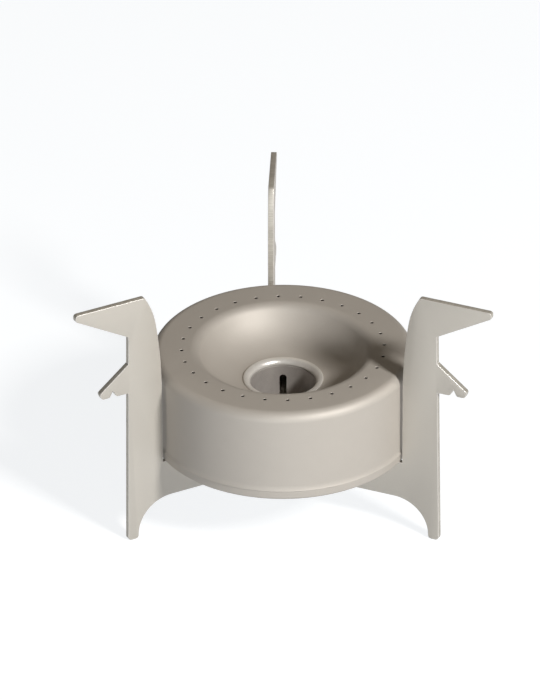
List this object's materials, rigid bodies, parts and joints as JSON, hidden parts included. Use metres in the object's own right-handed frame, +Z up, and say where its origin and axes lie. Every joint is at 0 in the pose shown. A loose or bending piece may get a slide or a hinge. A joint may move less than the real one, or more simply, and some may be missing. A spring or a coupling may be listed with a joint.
{
  "type": "spirit burner with three-plate stand",
  "caption": "Low round spirit burner with a ring of jets and an open well, resting on interlocking flat plates whose feet, arms, beaks and spurs hold a pot above the flame.",
  "frame": {"origin": "middle of the floor of the fuel well, on the burner's axis; the feet stand 21.0 mm below", "axes": "+Z up along the burner's axis, +Y towards the back plate, +X to the right seen from the front"},
  "size_m": [0.1041, 0.0911, 0.0696],
  "materials": {
    "plate_titanium": "bead-blasted titanium plate, warm grey, matt",
    "blasted_titanium": "bead-blasted titanium sheet, warm grey, matt",
    "drawn_titanium": "drawn titanium tube, satin",
    "wick_felt": "needled glass-fibre felt, off-white"
  },
  "bodies": {
    "left_plate": {"left_leg_plate": "plate_titanium"},
    "right_plate": {"right_leg_plate": "plate_titanium"},
    "back_plate": {"back_leg_plate": "plate_titanium"},
    "burner": {"burner_shell": "blasted_titanium", "base_pan": "blasted_titanium", "fuel_tube": "drawn_titanium", "wick_ring": "wick_felt"}
  },
  "joints": [
    {"name": "right_plate_lift", "type": "slide", "parent": "left_plate", "child": "right_plate", "axis": [0, 0, 1], "range_m": [0, 0.075]},
    {"name": "back_plate_lift", "type": "slide", "parent": "right_plate", "child": "back_plate", "axis": [0, 0, 1], "range_m": [0, 0.075]},
    {"name": "burner_lift", "type": "slide", "parent": "back_plate", "child": "burner", "axis": [0, 0, 1], "range_m": [0, 0.055]}
  ]
}
